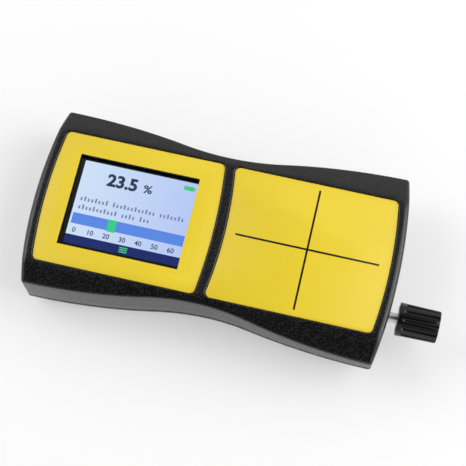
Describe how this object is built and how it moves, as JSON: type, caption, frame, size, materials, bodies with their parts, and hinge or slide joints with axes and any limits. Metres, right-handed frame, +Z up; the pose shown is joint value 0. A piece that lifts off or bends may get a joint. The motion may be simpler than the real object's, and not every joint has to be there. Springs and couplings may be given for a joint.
{
  "type": "electronic gold tester",
  "caption": "Waisted hand-held meter with a framed colour display, a coil under a crosshair target for the piece being tested, and a fluted knob on a shaft that turns and pushes.",
  "frame": {"origin": "middle of the housing's flat underside, which the meter rests on", "axes": "+X along the housing from the display end to the knob end, +Y across it to the side away from the knob, +Z up out of the labels"},
  "size_m": [0.1598, 0.0742, 0.0279],
  "materials": {
    "shell_black": "fine spark-grained moulded ABS",
    "label_yellow": "printed polycarbonate film, yellow, slightly satin",
    "clear_window": "clear polycarbonate sheet",
    "gasket_foam": "black closed-cell foam",
    "lcd_screen": "lit colour display behind glass",
    "circuit_board": "green solder mask over glass-epoxy",
    "flex_amber": "amber polyimide flexible circuit",
    "ribbon_cream": "off-white flat cable",
    "socket_cream": "cream nylon connector",
    "chip_black": "black moulded epoxy",
    "former_white": "white nylon",
    "coil_copper": "enamelled copper wire",
    "ferrite_grey": "sintered ferrite, dark grey",
    "encoder_steel": "plated steel case and zinc bushing",
    "terminal_brass": "tinned brass terminals",
    "spring_steel": "nickel-plated spring steel",
    "rotor_white": "white acetal",
    "shaft_steel": "turned steel",
    "knob_black": "satin black moulded plastic",
    "cell_wrap": "plain dark printed wrap over steel cans",
    "lead_sleeve": "insulated hook-up wire",
    "screw_steel": "zinc-plated steel"
  },
  "bodies": {
    "housing": {"top_shell": "shell_black", "bottom_shell": "shell_black", "display_label": "label_yellow", "sensor_label": "label_yellow", "display_window": "clear_window", "display_gasket": "gasket_foam", "lcd_panel": "lcd_screen", "display_board": "circuit_board", "display_cable": "flex_amber", "link_cable": "ribbon_cream", "cable_sockets": "socket_cream", "control_board": "circuit_board", "logic_chips": "chip_black", "board_header": "chip_black", "sensor_board": "circuit_board", "sensor_former": "former_white", "sensor_coil": "coil_copper", "ferrite_core": "ferrite_grey", "coil_leads": "coil_copper", "encoder_body": "encoder_steel", "encoder_bushing": "encoder_steel", "encoder_terminals": "terminal_brass", "switch_dome": "spring_steel", "battery_cells": "cell_wrap", "battery_springs": "spring_steel", "battery_plates": "spring_steel", "battery_leads": "lead_sleeve", "case_screws": "screw_steel", "board_screws": "screw_steel"},
    "rotor": {"encoder_rotor": "rotor_white"},
    "knob": {"encoder_shaft": "shaft_steel", "control_knob": "knob_black"},
    "cover": {"battery_cover": "shell_black"}
  },
  "joints": [
    {"name": "knob_turn", "type": "hinge", "parent": "housing", "child": "rotor", "pos_m": [0.0612, -0.0159, 0.0175], "axis": [1, 0, 0], "continuous": true},
    {"name": "knob_push", "type": "slide", "parent": "rotor", "child": "knob", "axis": [-1, 0, 0], "range_m": [0, 0.0005], "stiffness_N_per_m": 2000},
    {"name": "cover_slide", "type": "slide", "parent": "housing", "child": "cover", "axis": [-1, 0, 0], "range_m": [0, 0.045]}
  ]
}
